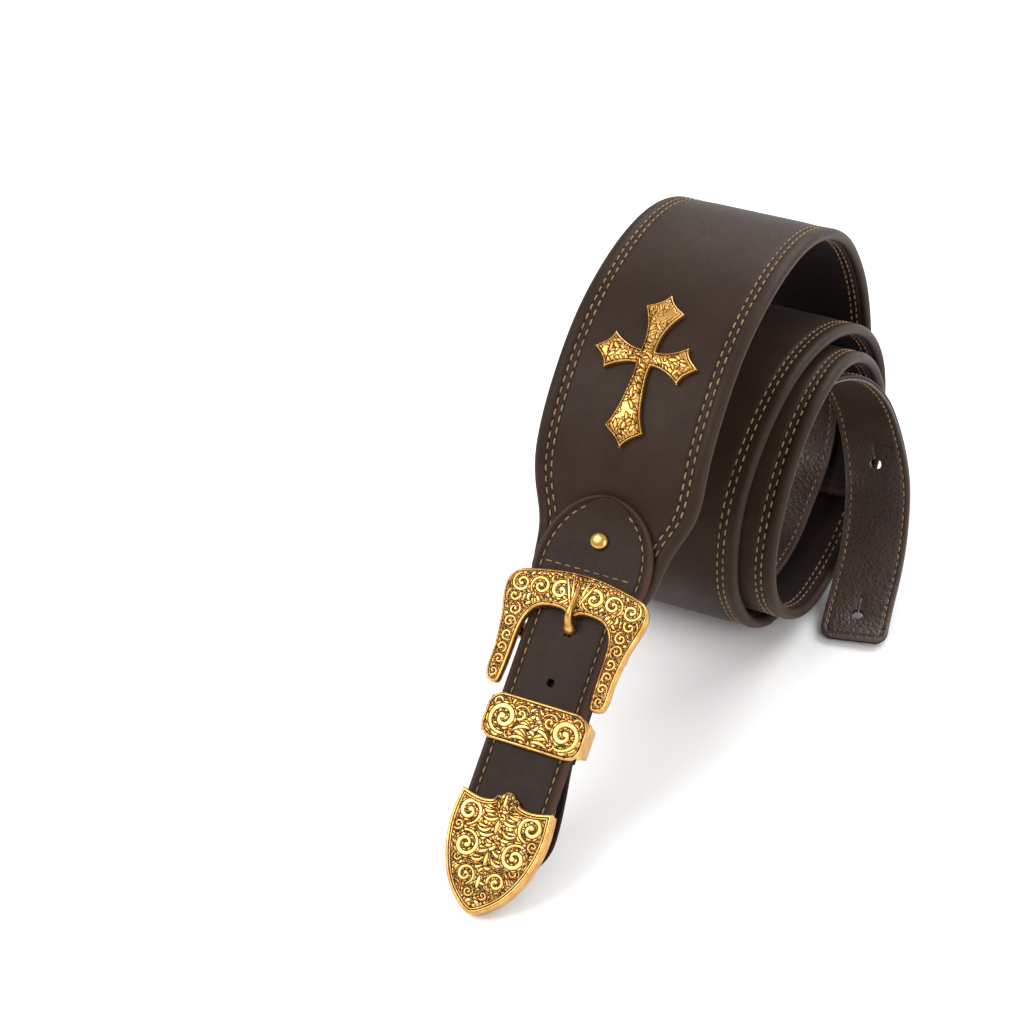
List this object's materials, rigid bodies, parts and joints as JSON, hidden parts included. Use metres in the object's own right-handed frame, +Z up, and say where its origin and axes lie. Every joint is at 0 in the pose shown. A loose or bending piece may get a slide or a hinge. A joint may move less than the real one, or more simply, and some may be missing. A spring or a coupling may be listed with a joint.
{
  "type": "guitar strap",
  "caption": "Padded leather guitar strap, rolled up, with a western buckle, keeper and tip on its lead, a cast cross and a narrow adjusting tail.",
  "frame": {"origin": "centre of the footprint at the surface it stands on", "axes": "+Z up, +X across the roll, -Y towards the buckled lead end"},
  "size_m": [0.1276, 0.3603, 0.1982],
  "materials": {
    "face_leather": "fine grain, soft sheen",
    "lining_leather": "fine grain, matt",
    "tail_leather": "pebbled, soft sheen",
    "foam": "matt",
    "thread": "waxed golden tan thread",
    "engraved_gold": "antique gold, polished high spots over dark engraving",
    "plain_gold": "satin antique gold"
  },
  "bodies": {
    "strap": {"billet_face": "face_leather", "billet_lining": "lining_leather", "cross_ornament": "engraved_gold", "cross_screw_lower": "plain_gold", "cross_screw_upper": "plain_gold", "end_piece": "lining_leather", "end_piece_rivet_left": "plain_gold", "end_piece_rivet_right": "plain_gold", "strap_core": "foam", "strap_face": "face_leather", "strap_lining": "lining_leather", "tab_rivet_cap": "engraved_gold", "tab_rivet_washer": "plain_gold", "tail_face": "face_leather", "tail_lining": "tail_leather", "tip_back_plate": "plain_gold", "tip_screw_lower": "plain_gold", "tip_screw_upper": "plain_gold", "tip_shell": "engraved_gold"},
    "buckle": {"buckle_bar": "plain_gold", "buckle_frame": "engraved_gold"},
    "prong": {"buckle_prong": "engraved_gold"},
    "keeper": {"keeper_loop": "engraved_gold"}
  },
  "joints": [
    {"name": "buckle_tilt", "type": "hinge", "parent": "strap", "child": "buckle", "pos_m": [-0.02575, -0.08577, 0.07555], "axis": [1, 0, 0], "range_deg": [0, 15]},
    {"name": "prong_lift", "type": "hinge", "parent": "buckle", "child": "prong", "pos_m": [-0.02575, -0.08577, 0.07555], "axis": [1, 0, 0], "range_deg": [0, 15]},
    {"name": "keeper_slide", "type": "slide", "parent": "strap", "child": "keeper", "axis": [0, -0.7407, -0.6718], "range_m": [0, 0.01]}
  ]
}
